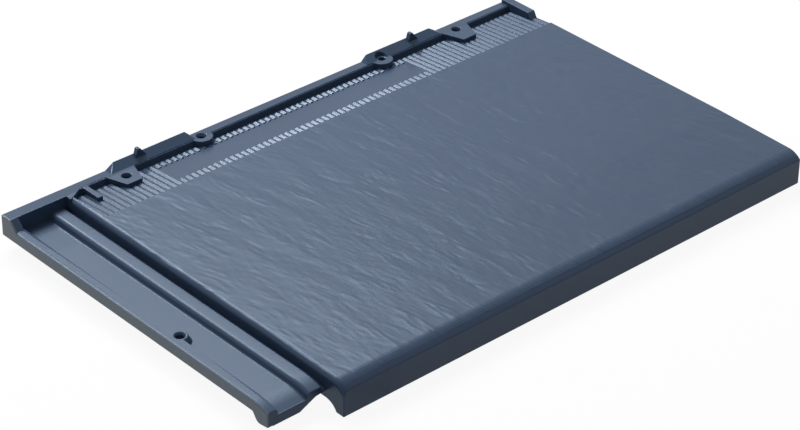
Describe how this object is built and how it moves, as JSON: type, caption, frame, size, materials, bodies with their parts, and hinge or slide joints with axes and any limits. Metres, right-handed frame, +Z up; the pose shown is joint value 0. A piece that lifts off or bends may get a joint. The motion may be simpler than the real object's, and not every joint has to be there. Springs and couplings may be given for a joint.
{
  "type": "flat roof tile",
  "caption": "Flat interlocking roof tile with a stepped side lap, a turned-down nose, a ribbed head band, a head rim with nail bosses and batten nibs underneath.",
  "frame": {"origin": "middle of the tile's outline, at the level that its nose and batten nibs rest on", "axes": "+X across the tile from the side lap to the overlock, +Y from the nose to the head, +Z up out of the weather face"},
  "size_m": [0.552, 0.35, 0.0406],
  "materials": {
    "coated_concrete": "blue-grey semi-gloss coating on cast concrete, slate-like relief on the weather face"
  },
  "bodies": {
    "root": {"roof_tile": "coated_concrete"}
  },
  "joints": []
}
